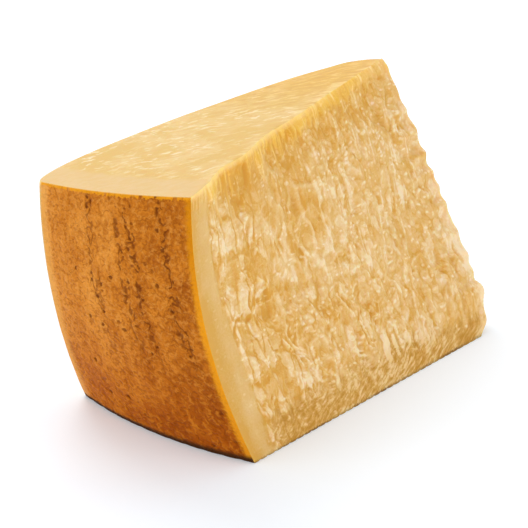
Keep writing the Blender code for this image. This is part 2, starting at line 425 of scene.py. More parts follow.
class Value:
    """A node's output; arithmetic with it adds math nodes."""

    def __init__(self, web, socket):
        self.web = web
        self.socket = socket

    def math(self, operation, *values):
        return self.web.math(operation, self, *values)

    def __add__(self, other):
        return self.math("ADD", other)

    def __sub__(self, other):
        return self.math("SUBTRACT", other)

    def __rsub__(self, other):
        return self.web.math("SUBTRACT", other, self)

    def __mul__(self, other):
        return self.math("MULTIPLY", other)

    def __pow__(self, power):
        return self.math("POWER", power)

    def __abs__(self):
        return self.math("ABSOLUTE")

    __radd__ = __add__
    __rmul__ = __mul__

    def vector(self, operation, other):
        return self.web.out("ShaderNodeVectorMath", {0: self, 1: other}, operation=operation)

    def parts(self):
        split = self.web.add("ShaderNodeSeparateXYZ", {0: self})
        return [Value(self.web, socket) for socket in split.outputs]

    def span(self, low, high, to_low=0, to_high=1):
        """The first result at the first end, the second at the second, and eased between them."""
        inputs = {0: self, 1: low, 2: high, 3: to_low, 4: to_high}
        return self.web.out("ShaderNodeMapRange", inputs, interpolation_type="SMOOTHSTEP")

    def clouds(self, size, detail=2, roughness=0.5, output=0):
        """Noise at this place with features of the given size in millimetres; output 1 is its colour."""
        inputs = {"Vector": self.vector("DIVIDE", size), "Scale": 1, "Detail": detail}
        inputs["Roughness"] = roughness
        return self.web.out("ShaderNodeTexNoise", inputs, output)

    def cells(self, size, feature="F1"):
        """Distance and colour, by name, of cells of the given size in millimetres at this place."""
        inputs = {"Vector": self.vector("DIVIDE", size), "Scale": 1}
        outputs = self.web.add("ShaderNodeTexVoronoi", inputs, feature=feature).outputs
        return {socket.name: Value(self.web, socket) for socket in outputs}

    def shifted(self, size, reach, detail=1, rise=1):
        """Place moved by soft noise, up to about half of reach, and the rise's share of it upwards."""
        drift = self.clouds(size, detail, output=1).vector("SUBTRACT", (0.5, 0.5, 0.5))
        return self.vector("ADD", drift.vector("MULTIPLY", (reach, reach, reach * rise)))

    def blend(self, *colours):
        """Mix of two colours by this share, each a value or screen values from 0 to 255."""
        first, second = [paint(c) if isinstance(c, tuple) else c for c in colours]
        return self.web.out("ShaderNodeMix", {0: self, 6: first, 7: second}, 2, data_type="RGBA")

    def palette(self, stops):
        """Colour of a ramp through (place, screen colour) stops."""
        node = self.web.add("ShaderNodeValToRGB", {0: self})
        ramp = node.color_ramp
        while len(ramp.elements) < len(stops):
            ramp.elements.new(0.5)
        for element, (place, colour) in zip(ramp.elements, stops):
            element.position = place
            element.color = paint(colour)
        return Value(self.web, node.outputs[0])


class Web:
    """Adds nodes to a shader or geometry tree and joins them."""

    def __init__(self, tree):
        self.tree = tree

    def add(self, kind, inputs=None, **settings):
        node = self.tree.nodes.new(kind)
        for name, value in settings.items():
            setattr(node, name, value)
        for key, value in (inputs or {}).items():
            self.put(node.inputs[key], value)
        return node

    def put(self, socket, value):
        if isinstance(value, Value):
            self.tree.links.new(value.socket, socket)
        else:
            socket.default_value = value

    def out(self, kind, inputs=None, output=0, **settings):
        """One output of a new node."""
        return Value(self, self.add(kind, inputs, **settings).outputs[output])

    def math(self, operation, *values):
        return self.out("ShaderNodeMath", dict(enumerate(values)), operation=operation)


def joined(x, y, z):
    return x.web.out("ShaderNodeCombineXYZ", {0: x, 1: y, 2: z})


def layered(colour, *layers):
    """A colour with others laid over it in turn, each given as its share and colour."""
    for share, over in layers:
        colour = share.blend(colour, over)
    return colour


def paint(screen):
    """Linear colour from screen values from 0 to 255."""
    share = np.array(screen) / 255
    linear = np.where(share <= 0.04045, share / 12.92, ((share + 0.055) / 1.055) ** 2.4)
    return (*linear.tolist(), 1)


def largest(first, *rest):
    for value in rest:
        first = first.math("MAXIMUM", value)
    return first


def weighed(fields, weights):
    """Sum of the named fields, each times its weight."""
    return sum(fields[name] * weight for name, weight in weights.items())


def contour(value, level, width):
    """1 on the line where the value passes the level, fading to 0 at the given distance in value."""
    return abs(value - level).span(width, width * 0.25)


def window(grain, along, up, share=1):
    """The share inside spans along and up the face, fading to 0 outside them."""
    s, _, t = grain.parts()
    for value, spans in ((s, along), (t, up)):
        for ends in spans:
            share = value.span(*ends) * share
    return share


# The broken paste. s, c and t are the places along, across and up, in millimetres of grain. Noise sizes
# are in millimetres in the same order. A span is two places and, where they aren't 0 and 1, its values
# there. A zone is its spans along and its spans up. A bend is what Value.shifted takes.
ROUGH_BEND = ((19, 19, 20), 13, 2, 0.7)
FRAYED_BEND = ((4, 4, 3.6), 3.2, 2, 0.7)
SOFT_SIZE = (9, 9, 16)
FRINGE_SIZE = (4, 4, 9)
BAND_WIDTH = (40, 80, 19, 16)
BAND_FADE = 3.5
BAND_SWAY = 8
FOOT_HEIGHT = (110, 190, 13.5, 7)
FOOT_SWAY = 14
TONGUE_BEND = ((9, 9, 12), 3)
TONGUE_SIZE = (5.5, 5.5, 34)
TONGUE_LENGTH = 11
LIP_SWAY = 16
LIP_SPAN = (GRAIN_HEIGHT - 8, GRAIN_HEIGHT - 3.5)
RIM_SPAN = (GRAIN_LENGTH - 10, GRAIN_LENGTH - 3)
LUMP_SIZE = (10, 10, 12)
MOTTLE_SIZE = (4.2, 4.2, 4.6)
PATCH_SIZE = (5.6, 5.6, 6.4)
CROWD_SIZE = (20, 20, 16)
FLAKE_SIZE = (6, 6, 7.4)
CHIP_SIZE = (3, 3, 2.8)
COMB_BEND = ((5, 5, 6), 4, 2, 1.4)
COMB_SIZE = (6, 6, 13)
SLAB_BEND = ((4.5, 4.5, 5.5), 4.6, 2)
SLAB_SIZE = (6.6, 6.6, 14)
VEIN_BEND = ((9, 9, 11), 8, 1, 1.3)
VEIN_SIZE = (15, 15, 40)
STREAK_BEND = ((16, 16, 30), 5)
STREAK_SIZE = (5, 5, 60)
STREAK_LEAN = -0.2
FOLD_SIZE = (17, 17, 24)
FOLDS_PER_CLOUD = 8
FOLD_SLOPE = 0.80
RING_BEND = ((10, 10, 8), 8)
RING_CENTRE = (92, 72)
RING_WIDTHS = (17, 9.5)
GOLD_CENTRE = (84, 82)
GOLD_WIDTHS = (24, 20)
DOT_SIZE = (3.2, 3.2, 1.8)
SLAB_ZONE = (((74, 44),), ((106, 96),))
VEIN_ZONE = (((50, 66), (124, 104)), ((44, 56), (100, 90)))
STREAK_ZONE = (((80, 130),), ((24, 50),))
DOT_ZONE = (((135, 165),), ((60, 85),))
QUIET_ZONE = (((40, 60),), ((38, 50),))
FLUTE_SIZE = (2.6, 2.6, 14)


def zones(grain):
    """Where the paste is smooth: beside the rind, at the foot, under the top edge, and the tip's rim."""
    s, c, t = grain.parts()
    soft = grain.clouds(SOFT_SIZE) - 0.5
    fringe = grain.clouds(FRINGE_SIZE) - 0.5
    inner_edge = t.span(*BAND_WIDTH)
    swayed = s + soft * BAND_SWAY + fringe * BAND_SWAY
    band = swayed.span(inner_edge, inner_edge - BAND_FADE)
    above_foot = t - s.span(*FOOT_HEIGHT) + fringe * FOOT_SWAY
    foot = above_foot.span(4, -4) * s.span(8, 34)
    tongue = grain.shifted(*TONGUE_BEND).clouds(TONGUE_SIZE, 1).span(0.47, 0.60)
    tongue = tongue * s.span(120, 70) * s.span(12, 20) * TONGUE_LENGTH
    lip = (t + fringe * LIP_SWAY + tongue).span(*LIP_SPAN)
    rim = (s + soft * 6).span(*RIM_SPAN)
    rim = rim * (c + soft * 8).span(9, 3)
    return {"band": band, "foot": foot, "lip": lip, "rim": rim}


def chosen_cells(place, size, edge, share, crowd):
    """Flakes and the gaps round them: cells whose own random number plus the crowding passes the share."""
    cells = place.cells(size)
    chosen = (cells["Color"].parts()[0] + crowd).span(share, share + 0.1)
    inside = cells["Distance"].span(edge, edge * 0.8)
    gap = cells["Distance"].span(edge * 1.5, edge * 1.1) * (1 - inside)
    return inside * chosen, gap * chosen


def flakes(grain, bent, frayed, gold):
    """Flakes, chips and the gaps round both; they crowd beside the band and keep off the golden place."""
    s = grain.parts()[0]
    beside_band = s.span(52, 30) * 0.08
    crowd = bent.clouds(CROWD_SIZE) + gold * -0.30 + beside_band
    flake, flake_gap = chosen_cells(frayed, FLAKE_SIZE, 0.54, 0.84, crowd)
    chip, chip_gap = chosen_cells(frayed, CHIP_SIZE, 0.50, 0.92, crowd)
    return flake, chip, largest(flake_gap, chip_gap * 0.6)


def comb(grain):
    """Upright strokes of curd along the foot band's upper edge, and the gaps round them."""
    s, _, t = grain.parts()
    stroke, gap = chosen_cells(grain.shifted(*COMB_BEND), COMB_SIZE, 0.50, 0.30, 0)
    above_foot = t - s.span(*FOOT_HEIGHT)
    share = above_foot.span(-6, -2) * above_foot.span(11, 5)
    share = share * s.span(26, 34) * s.span(120, 165, 1, 0.45)
    return stroke * share, gap * share


def slabs(grain, bent):
    """Tall slabs of curd beside the band, the thin gaps between them, and their zone."""
    s = grain.parts()[0]
    place = bent.shifted(*SLAB_BEND)
    number = place.cells(SLAB_SIZE)["Color"].parts()[0]
    chosen = (number + s.span(44, 32, 0, 0.22)).span(0.36, 0.50)
    inside = place.cells(SLAB_SIZE, "DISTANCE_TO_EDGE")["Distance"].span(0.02, 0.15)
    zone = window(grain, *SLAB_ZONE)
    slab = (inside * chosen - 0.30) * zone
    return slab, (1 - inside) * chosen * zone, zone


def veins(grain):
    """Wavy upright ridges of curd round the golden place, less the hollow beside each, and their zone; in
    the tone that darker hollow is painted shade beside each ridge.
    """
    level = grain.shifted(*VEIN_BEND).clouds(VEIN_SIZE, 1)
    line = contour(level, 0.5, 0.062) - contour(level, 0.42, 0.055) * 0.5
    broken = grain.clouds((8, 8, 12), 1).span(0.42, 0.52)
    zone = window(grain, *VEIN_ZONE)
    return line * broken * zone, zone


def streaks(grain):
    """Thin bright strands that lean down towards the tip, mostly in the upper part near it."""
    s, c, t = grain.parts()
    lean = joined(s + t * STREAK_LEAN, c, t).shifted(*STREAK_BEND)
    strand = contour(lean.clouds(STREAK_SIZE, 1), 0.5, 0.07)
    broken = lean.clouds((7, 7, 14), 1).span(0.50, 0.62)
    return strand * broken * (0.15 + window(grain, *STREAK_ZONE, 0.85))


def oval(place, centre, widths):
    """Squared distance from a centre on the broken face, 1 at the given widths along and up from it."""
    s, _, t = place.parts()
    return ((s - centre[0]) * (1 / widths[0])) ** 2 + ((t - centre[1]) * (1 / widths[1])) ** 2


def ripples(grain, place):
    """Rings of curd round one place of the broken face: their saw-like turn and their share."""
    s, _, t = place.parts()
    rings = oval(place, RING_CENTRE, RING_WIDTHS).math("SQRT")
    side = (s + (RING_CENTRE[1] - t) * -0.5).span(82, 98)
    broken = grain.clouds((13, 13, 15), 1).span(0.36, 0.46)
    return rings.math("FRACT"), rings.span(2.9, 2.2) * side * broken


def gold_zone(grain, lump):
    """The smooth golden place in the upper left of the broken face."""
    reach = oval(grain, GOLD_CENTRE, GOLD_WIDTHS) + (lump - 0.5) * 2
    return reach.span(1.3, 0.2)


def folds(grain, bent, frayed):
    """How far each place lies up its fold, from notch to rim, and where the folds show."""
    turn = (frayed.clouds(FOLD_SIZE, 1) * FOLDS_PER_CLOUD).math("FRACT")
    ring_turn, ring_share = ripples(grain, bent.shifted(*RING_BEND))
    turn = turn + (ring_turn - turn) * ring_share.span(0.1, 0.3)
    fall = (1 - turn) * (1 / (1 - FOLD_SLOPE))
    fold = (turn * (1 / FOLD_SLOPE)).math("MINIMUM", fall)
    share = grain.clouds((17, 17, 22), 1).span(0.46, 0.60)
    return fold, largest(share, ring_share * 0.8)


def specks(grain, bent, calm):
    """Rounded grains of curd, and small bright dots that gather in clusters."""
    cells = bent.cells(DOT_SIZE)
    shown = grain.clouds((15, 15, 17)).span(0.40, 0.56)
    curd = (cells["Distance"].span(0.65, 0.15) - 0.5) * shown
    clusters = grain.clouds((12, 12, 12)) * 0.6 + window(grain, *DOT_ZONE, 0.20)
    chosen = (cells["Color"].parts()[2] + clusters).span(0.96, 1.10)
    dot = cells["Distance"].span(0.42, 0.22) * chosen * calm.span(0.9, 0.1, 0.5, 1)
    return curd, dot


def roughness_share(grain, gold, calm):
    """How much of the rough relief shows: none where it is calm, less in the quieter places."""
    towards_tip = window(grain, ((105, 150),), (), 0.30)
    quiet = largest(gold * 0.35, towards_tip, window(grain, *QUIET_ZONE, 0.20))
    return (1 - calm) * (1 - quiet)


def paste_fields(grain):
    """The broken paste's zones, folds, flakes, strands, dots and hollows, by name."""
    f = zones(grain)
    bent = grain.shifted(*ROUGH_BEND)
    frayed = bent.shifted(*FRAYED_BEND)
    lump = bent.clouds(LUMP_SIZE)
    f["gold"] = gold_zone(grain, lump)
    f["mottle"] = frayed.clouds(MOTTLE_SIZE, 3, 0.6) - 0.5
    patches = frayed.clouds(PATCH_SIZE, 3, 0.6) + f["gold"] * -0.05
    f["patch"] = patches.span(0.485, 0.535)
    f["hollow"] = (lump + f["mottle"] * 0.6).span(0.44, 0.33)
    f["fold"], f["fold_share"] = folds(grain, bent, frayed)
    f["streak"] = streaks(grain) * (1 - f["rim"])
    calm = largest(f["band"], f["foot"] * 0.7, f["lip"], f["rim"] * 0.2)
    f["rough"] = roughness_share(grain, f["gold"], calm)
    f["slab"], f["slab_gap"], slab_zone = slabs(grain, bent)
    f["vein"], vein_zone = veins(grain)
    busy = 1 - largest(slab_zone * 0.6, vein_zone * 0.5)
    curd, f["dot"] = specks(grain, bent, calm)
    flake, chip, gap = flakes(grain, bent, frayed, f["gold"])
    f["comb"], comb_gap = comb(grain)
    crowded = {"curd": curd, "flake": flake, "chip": chip, "gap": largest(gap, comb_gap)}
    f.update({name: field * busy for name, field in crowded.items()})
    return f


# Weights of the fields in the relief, in millimetres, and in the tone. Those in "rough" leave out the
# smooth zones. "saw" holds a fold's bright rim, dark notch and slope; in the tone the rim is a painted
# highlight and the notch painted shade.
PASTE_HEIGHT = {
    "saw": (0.5, 0.2, 0.5),
    "rough": {
        "slab": 0.40, "slab_gap": -0.10, "vein": 0.6, "curd": 0.45, "mottle": 0.9, "patch": 0.35,
        "flake": 0.35, "chip": 0.20, "gap": -0.15, "hollow": -0.7, "streak": 0.35,
    },
    "offset": 0,
    "all_over": {"dot": 0.2, "comb": 0.55},
}
PASTE_TONE = {
    # Painted highlight on the folds' rims and painted shade in their notches
    "saw": (0.34, 0.20, 0.16),
    "rough": {
        # In the tone, the darker "slab_gap", "gap" and "hollow" are painted shade in the crevices and
        # hollows
        "slab": 0.40, "slab_gap": -0.12, "vein": 0.42, "curd": 0.32, "mottle": 0.35, "patch": 0.16,
        "flake": 0.26, "chip": 0.22, "gap": -0.16, "hollow": -0.18,
    },
    "offset": -0.18,
    "all_over": {"dot": 0.36, "comb": 0.46, "streak": 0.42},
}


def saw(f, rim_weight, notch_weight, slope_weight):
    """A fold's profile: a long soft slope up to a bright rim, then a short fall into a dark notch; in the
    tone the rim is a painted highlight and the notch painted shade.
    """
    rim = f["fold"] ** 4 * rim_weight
    notch = (1 - f["fold"]) ** 5 * -notch_weight
    slope = (f["fold"] - 0.5) * slope_weight
    return (rim + notch + slope) * f["fold_share"]


def weighed_paste(f, table):
    """Sum of the paste's fields by one of the two tables of weights."""
    rough = saw(f, *table["saw"]) + weighed(f, table["rough"]) + table["offset"]
    return rough * f["rough"] + weighed(f, table["all_over"])


def flutes(grain):
    """Small upright flutes on the waxy lip under the knife cut, on both sides of 0."""
    return grain.clouds(FLUTE_SIZE) - 0.5


# The rind: columns of pits and cracks as (place across, width, lean, strength), and noise sizes
RIND_COLUMNS = (
    (5.5, 2.6, 0.10, 0.9),
    (24, 2.2, 0.09, 0.9),
    (31, 1.8, 0.09, 0.8),
    (50, 2.4, 0.07, 0.6),
)
COLUMN_WANDER = 7
STROKE_BEND = ((4, 3.6, 3.6), 4.6, 2)
STROKE_SIZE = (7, 3.6, 2.6)
DARK_STROKE_SHIFT = (40, 40, 40)
PIT_BEND = ((2.2, 2.2, 2.2), 1.8)
PIT_SIZE = (3.8, 3.8, 3.6)
CRACK_SIZE = (5, 4.4, 5.2)
RIND_MOTTLE_SIZE = (1.9, 1.6, 1.3)
RIND_WEIGHTS = {"light": 0.22, "dark": -0.25, "pit": -0.7, "crack": -0.45}


def rind_columns(grain):
    """Upright columns where the rind is pitted and cracked."""
    _, c, t = grain.parts()
    wander = (grain.clouds((30, 9, 9)) - 0.5) * COLUMN_WANDER
    columns = 0
    for place, width, lean, strength in RIND_COLUMNS:
        offset = abs(c + wander - (place + t * lean))
        columns = columns + offset.span(width * 1.4, width * 0.5) * strength
    return columns * t.span(26, 62)


def rind_fields(grain):
    """Curly strokes, pits and cracks of the rind, each from 0 to 1."""
    curled = grain.shifted(*STROKE_BEND)
    light_line = contour(curled.clouds(STROKE_SIZE, 1), 0.52, 0.085)
    moved = curled.vector("ADD", DARK_STROKE_SHIFT)
    dark_line = contour(moved.clouds(STROKE_SIZE, 1), 0.48, 0.08)
    gaps = grain.clouds((4, 3.2, 3.2), 1)
    columns = rind_columns(grain)
    frayed = grain.shifted(*PIT_BEND)
    spots = frayed.cells(PIT_SIZE)
    chosen = (spots["Color"].parts()[0] + columns * 0.35).span(0.93, 1)
    crack_line = contour(frayed.clouds(CRACK_SIZE, 1), 0.5, 0.08)
    unbroken = grain.clouds((5, 5, 6), 1).span(0.38, 0.48)
    return {
        "light": light_line * gaps.span(0.44, 0.56),
        "dark": dark_line * gaps.span(0.56, 0.44),
        "pit": spots["Distance"].span(0.34, 0.14) * chosen,
        "crack": crack_line * columns * unbroken,
        "columns": columns,
    }


def relief_tree():
    """Geometry nodes that work out the fine relief from the grain, as the materials do."""
    tree = bpy.data.node_groups.new("paste_relief", "GeometryNodeTree")
    for way in ("INPUT", "OUTPUT"):
        tree.interface.new_socket(name="Geometry", in_out=way, socket_type="NodeSocketGeometry")
    web = Web(tree)
    grain = web.out("GeometryNodeInputNamedAttribute", {"Name": "grain"}, data_type="FLOAT_VECTOR")
    f = paste_fields(grain)
    lip = flutes(grain) * f["lip"] * 1.6 + f["lip"] * 0.5
    heights = {
        "fine_relief": weighed_paste(f, PASTE_HEIGHT) + lip,
        "rind_relief": weighed(rind_fields(grain), RIND_WEIGHTS),
    }
    geometry = web.out("NodeGroupInput")
    for name, height in heights.items():
        inputs = {"Geometry": geometry, "Name": name, "Value": height}
        geometry = web.out("GeometryNodeStoreNamedAttribute", inputs, data_type="FLOAT", domain="POINT")
    web.add("NodeGroupOutput", {0: geometry})
    return tree


def fine_relief(obj):
    """Relief of the paste and of the rind at every point, in metres."""
    modifier = obj.modifiers.new("paste_relief", "NODES")
    modifier.node_group = relief_tree()
    paste = read_point_data(obj, "fine_relief") * MM
    rind = read_point_data(obj, "rind_relief") * MM
    obj.modifiers.remove(modifier)
    return paste, rind


def fit_to_box(points, low, high):
    """Scale and move the points so that their box is the given one."""
    own_low, own_high = points.min(0), points.max(0)
    share = (points - own_low) / (own_high - own_low)
    return np.array(low) + share * (np.array(high) - np.array(low))


# Where each face's chart goes on the map, in metres: left, low, and the chart's scale
CHARTS = {
    NEAR: (0, 0, 1),
    RIND: (0.215, 0, 1),
    FAR: (0, 0.128, 1),
    TIP: (0.215, 0.130, 1),
    TOP: (0, 0.256, 1),
    FOOT: (0.215, 0.262, 0.62),
}
CHART_MARGIN = 0.002
CHART_ENDS = (0.1, 0.9)
MAP_SIDE = 0.360

# The block's direction that is fixed on each face, and its value there
FIXED = {NEAR: (1, 0.0), FAR: (1, 1.0), RIND: (0, 0.0), TIP: (0, 1.0), TOP: (2, 1.0), FOOT: (2, 0.0)}


def chart_axes(face):
    """The two directions of a face's flat chart, taken at its middle."""
    fixed, value = FIXED[face]
    middle = [np.array([0.5])] * 3
    middle[fixed] = np.array([value])
    runs = []
    for axis in [a for a in range(3) if a != fixed]:
        low, high = list(middle), list(middle)
        low[axis], high[axis] = np.array([CHART_ENDS[0]]), np.array([CHART_ENDS[1]])
        runs.append((shaped(*high) - shaped(*low))[0])
    first = runs[0] / np.linalg.norm(runs[0])
    second = runs[1] - first * (runs[1] @ first)
    second /= np.linalg.norm(second)
    if FACES[face][2]:
        first = -first
    return first, second


def add_map(mesh, base, owners):
    """A flat map with one chart for each face, at one scale but for the foot."""
    loops = np.empty(len(mesh.loops), np.int32)
    mesh.loops.foreach_get("vertex_index", loops)
    counts = np.empty(len(mesh.polygons), np.int32)
    mesh.polygons.foreach_get("loop_total", counts)
    owner = np.repeat(np.array(owners), counts)
    places = np.zeros((len(loops), 2))
    for face, (left, low, scale) in CHARTS.items():
        chosen = owner == face
        first, second = chart_axes(face)
        flat = np.stack((base[loops[chosen]] @ first, base[loops[chosen]] @ second), -1)
        flat = (flat - flat.min(0)) * scale
        places[chosen] = flat + (left + CHART_MARGIN, low + CHART_MARGIN)
    uv = mesh.uv_layers.new(name="OFBake")
    uv.data.foreach_set("uv", (places / MAP_SIDE).astype(np.float32).ravel())


# Finish: the cheese's refraction, and how far light spreads under its surface in metres
CHEESE_IOR = 1.45
WAX_RADIUS = (0.006, 0.0035, 0.0012)


def set_inputs(node, values):
    for name, value in values.items():
        node.inputs[name].default_value = value


def add_object(name, data):
    obj = bpy.data.objects.new(name, data)
    bpy.context.scene.collection.objects.link(obj)
    return obj


def new_material(name):
    material = bpy.data.materials.new(name)
    material.use_nodes = True
    tree = material.node_tree
    grain = Web(tree).out("ShaderNodeAttribute", output="Vector", attribute_name="grain")
    return material, tree.nodes["Principled BSDF"], grain


def dress(shader, colour, roughness, height, strength, gloss, wax):
    """Join colour, roughness and bump to the shader; the height is in millimetres."""
    web = colour.web
    web.put(shader.inputs["Base Color"], colour)
    web.put(shader.inputs["Roughness"], roughness)
    bump = web.out("ShaderNodeBump", {"Height": height, "Strength": strength, "Distance": MM})
    web.put(shader.inputs["Normal"], bump)
    set_inputs(shader, {"IOR": CHEESE_IOR, "Specular IOR Level": gloss, "Subsurface Weight": wax})
    set_inputs(shader, {"Subsurface Radius": WAX_RADIUS, "Subsurface Scale": 1})


# The paste's colours along its tone, the band's and the foot's, and single colours
PASTE_STOPS = (
    (0, (213, 156, 63)),
    (0.25, (220, 171, 92)),
    (0.5, (227, 186, 122)),
    (0.75, (233, 201, 150)),
    (1, (239, 214, 172)),
)
BAND_STOPS = ((0.1, (210, 160, 72)), (0.5, (220, 180, 114)), (0.9, (234, 204, 156)))
FOOT_STOPS = ((0.2, (186, 132, 42)), (0.5, (206, 157, 76)), (0.8, (229, 193, 134)))
LIP_LOW = (226, 169, 60)
LIP_HIGH = (238, 191, 84)
LIP_LIGHT = (248, 218, 148)
LIP_DARK = (216, 152, 44)
# Dark line along the broken face's foot: partly the bottom rind's darker edge, partly painted contact
# shadow
PASTE_FOOT_EDGE_AND_SHADOW = (116, 78, 40)
# Pale line just under the broken face's top edge: a painted highlight along the edge
TOP_EDGE_HIGHLIGHT = (246, 212, 140)

# Darker places of the broken face: spans along, spans up, and the change of tone inside them
DARKER_PLACES = (
    (((24, 34),), ((84, 106),), -0.17),
    (((70, 50), (26, 36)), ((74, 90),), -0.13),
    (((64, 50), (22, 32)), (), -0.08),
)
DASH_BEND = ((9, 9, 9), 4)
DASH_SIZE = (4.8, 4.8, 1.4)
DASH_LEAN = (0.95, 0.31)


def foot_dashes(grain):
    """Short pale strokes on the smooth foot band, leaning up towards the tip, on both sides of 0."""
    s, c, t = grain.parts()
    level, rise = DASH_LEAN
    along = s * level + t * rise
    up = t * level - s * rise
    lean = joined(along, c, up).shifted(*DASH_BEND)
    strength = s.span(60, 130, 1.5, 2) * s.span(140, 180, 1, 0.6)
    return (lean.clouds(DASH_SIZE, 2, 0.6) - 0.5) * strength


def paste_tone(grain, f, tint, fine, dashes, fluted):
    """Tone of the broken face: 0.5 is its middle, more is creamier and less is more golden."""
    s, _, t = grain.parts()
    upright = (grain.clouds((6, 6, 40)) - 0.5) * 0.35
    foot_slope = s.span(40, 80, -0.10, 0.05) + s.span(120, 175, 0, -0.14)
    return sum([
        0.5,
        weighed_paste(f, PASTE_TONE),
        (tint - 0.5) * 0.40,
        (grain.clouds((13, 13, 9)) - 0.5) * 0.60,
        (fine - 0.5) * 0.55,
        s.span(150, 185, 0.02, 0),
        *(window(grain, *place) for place in DARKER_PLACES),
        f["band"] * (upright + s.span(1, 12, -0.42, -0.09)),
        f["band"] * (1 - f["band"]) * -0.8,
        f["foot"] * (dashes + foot_slope),
        f["gold"] * -0.19,
        # The tip's rim is paler, more so towards the foot: painted glow of light through the thin edge
        f["rim"] * t.span(70, 20, 0.14, 0.50),
        # Light and dark stripes of the lip's flutes: painted light and shade on the flutes
        f["lip"] * fluted,
    ])


def lip_colour(t, tone):
    """Yellow of the waxy lip under the knife cut."""
    return layered(
        t.span(103, 114).blend(LIP_LOW, LIP_HIGH),
        (tone.span(0.5, 0.9, 0, 0.7), LIP_LIGHT),
        (tone.span(0.5, 0.1, 0, 0.8), LIP_DARK),
    )


def paste_colour(grain, f, tone, tint, fine, fluted):
    s, _, t = grain.parts()
    uneven_line = fine - 0.5
    glow = (t + fluted * 3).span(100, 112)
    yellow = glow * 0.45 + f["lip"] * 0.45
    yellow = yellow * s.span(6, 20, 0.4, 1) * s.span(150, 195, 1, 0.4)
    # Dark foot line: partly the bottom rind's edge, partly painted contact shadow
    foot_edge_and_shadow = (t + uneven_line * 1.8).span(1.1, 0.4)
    # A painted highlight along the broken face's top edge
    edge_highlight_place = t + uneven_line * 1.5 + fluted * -1.5
    edge_highlight = edge_highlight_place.span(GRAIN_HEIGHT - 3, GRAIN_HEIGHT)
    return layered(
        tone.palette(PASTE_STOPS),
        (f["band"], tone.palette(BAND_STOPS)),
        (yellow, lip_colour(t, tone)),
        (f["foot"] * 0.85, tone.palette(FOOT_STOPS)),
        (foot_edge_and_shadow * tint.span(0.40, 0.60, 0.45, 0.95), PASTE_FOOT_EDGE_AND_SHADOW),
        (edge_highlight * s.span(170, 90) * 0.75, TOP_EDGE_HIGHLIGHT),
    )


def paste_material():
    material, shader, grain = new_material("broken_paste")
    f = paste_fields(grain)
    tint = grain.clouds((30, 30, 34))
    fine = grain.clouds((1.1, 1.1, 0.9), 3, 0.6)
    dashes = foot_dashes(grain)
    fluted = flutes(grain) * grain.parts()[0].span(80, 130, 2.4, 0.7)
    tone = paste_tone(grain, f, tint, fine, dashes, fluted)
    colour = paste_colour(grain, f, tone, tint, fine, fluted)
    height = weighed_paste(f, PASTE_HEIGHT) + fine * 0.10 + f["foot"] * dashes * 0.3
    dress(shader, colour, tone.span(0.2, 0.8, 0.48, 0.64), height, 0.12, gloss=0.14, wax=0.6)
    return material


# The knife cut's colours: its ground, pale and dark dashes, the golden part towards the tip with its own
# dashes, the smooth band beside the rind, and the near edge
CUT_GROUND = ((224, 184, 104), (230, 195, 128))
CUT_PALE = (242, 223, 180)
CUT_DARK = (224, 176, 92)
CUT_GOLD = (227, 174, 72)
CUT_GOLD_PALE = (243, 208, 134)
CUT_GOLD_DARK = (212, 156, 58)
CUT_BAND = (226, 190, 132)
CUT_EDGE = (239, 210, 144)
CUT_BENDS = (((22, 22, 20), 7), ((4.5, 4.5, 4.5), 3.6, 2))
CUT_DASH_SIZE = (7, 2.2, 5)


def cut_dashes(grain):
    """Short dashes that the knife drew out, slanting across the cut."""
    s, c, _ = grain.parts()
    place = joined((s - c) * 0.7, (s + c) * 0.7, 0)
    for bend in CUT_BENDS:
        place = place.shifted(*bend)
    return place.clouds(CUT_DASH_SIZE, 2, 0.55)


def cut_colour(grain, dash, band):
    s, c, _ = grain.parts()
    inner = 1 - band
    tint = grain.clouds((26, 18, 20), 3)
    crowd = grain.clouds((26, 26, 20)).span(0.40, 0.58, 0.34, 0.80)
    towards_tip = s.span(95, 145, 0, 0.45)
    return layered(
        tint.span(0.38, 0.62).blend(*CUT_GROUND),
        (dash.span(0.53, 0.66) * inner * crowd, CUT_PALE),
        (dash.span(0.47, 0.36) * inner * 0.6, CUT_DARK),
        (s.span(105, 185, 0, 0.72), CUT_GOLD),
        (dash.span(0.52, 0.64) * towards_tip, CUT_GOLD_PALE),
        (dash.span(0.48, 0.38) * towards_tip, CUT_GOLD_DARK),
        (band * 0.8, CUT_BAND),
        (c.span(5, 0.5) * 0.4 * dash.span(0.42, 0.56) * inner, CUT_EDGE),
    )


def cut_material():
    material, shader, grain = new_material("knife_cut")
    dash = cut_dashes(grain)
    wobble = (grain.clouds((8, 8, 8)) - 0.5) * 5
    band = (grain.parts()[0] + wobble).span(23, 17)
    colour = cut_colour(grain, dash, band)
    fine = grain.clouds((0.8, 0.8, 0.8), 3, 0.6)
    height = dash.span(0.4, 0.66) * (1 - band) * 0.25 + fine * 0.06
    dress(shader, colour, dash.span(0.3, 0.7, 0.40, 0.58), height, 0.4, gloss=0.2, wax=0.3)
    return material


# The rind's colours: along its shade above and at the foot, where they are darker as painted shade, of its
# strokes, cracks and pits, and of its edges beside the near face, the far face, the cut and the foot
RIND_STOPS = ((0, (154, 76, 8)), (0.5, (200, 117, 28)), (1, (230, 150, 58)))
RIND_SHADED_FOOT_STOPS = ((0, (144, 62, 0)), (0.5, (171, 82, 2)), (1, (202, 114, 16)))
STROKE_LIGHT = ((232, 160, 76), (222, 138, 36))
STROKE_DARK = (142, 66, 4)
CRACK = (118, 54, 8)
PIT = (112, 50, 10)
NEAR_STRIP = ((219, 137, 9), (243, 160, 26))
FAR_STRIP = (240, 172, 84)
RIND_LIP = (238, 156, 22)
RIND_CAP = (240, 186, 98)
# Dark line at the rind's foot: partly the bottom rind's darker edge, partly painted contact shadow
RIND_FOOT_EDGE_AND_SHADOW = (74, 40, 12)


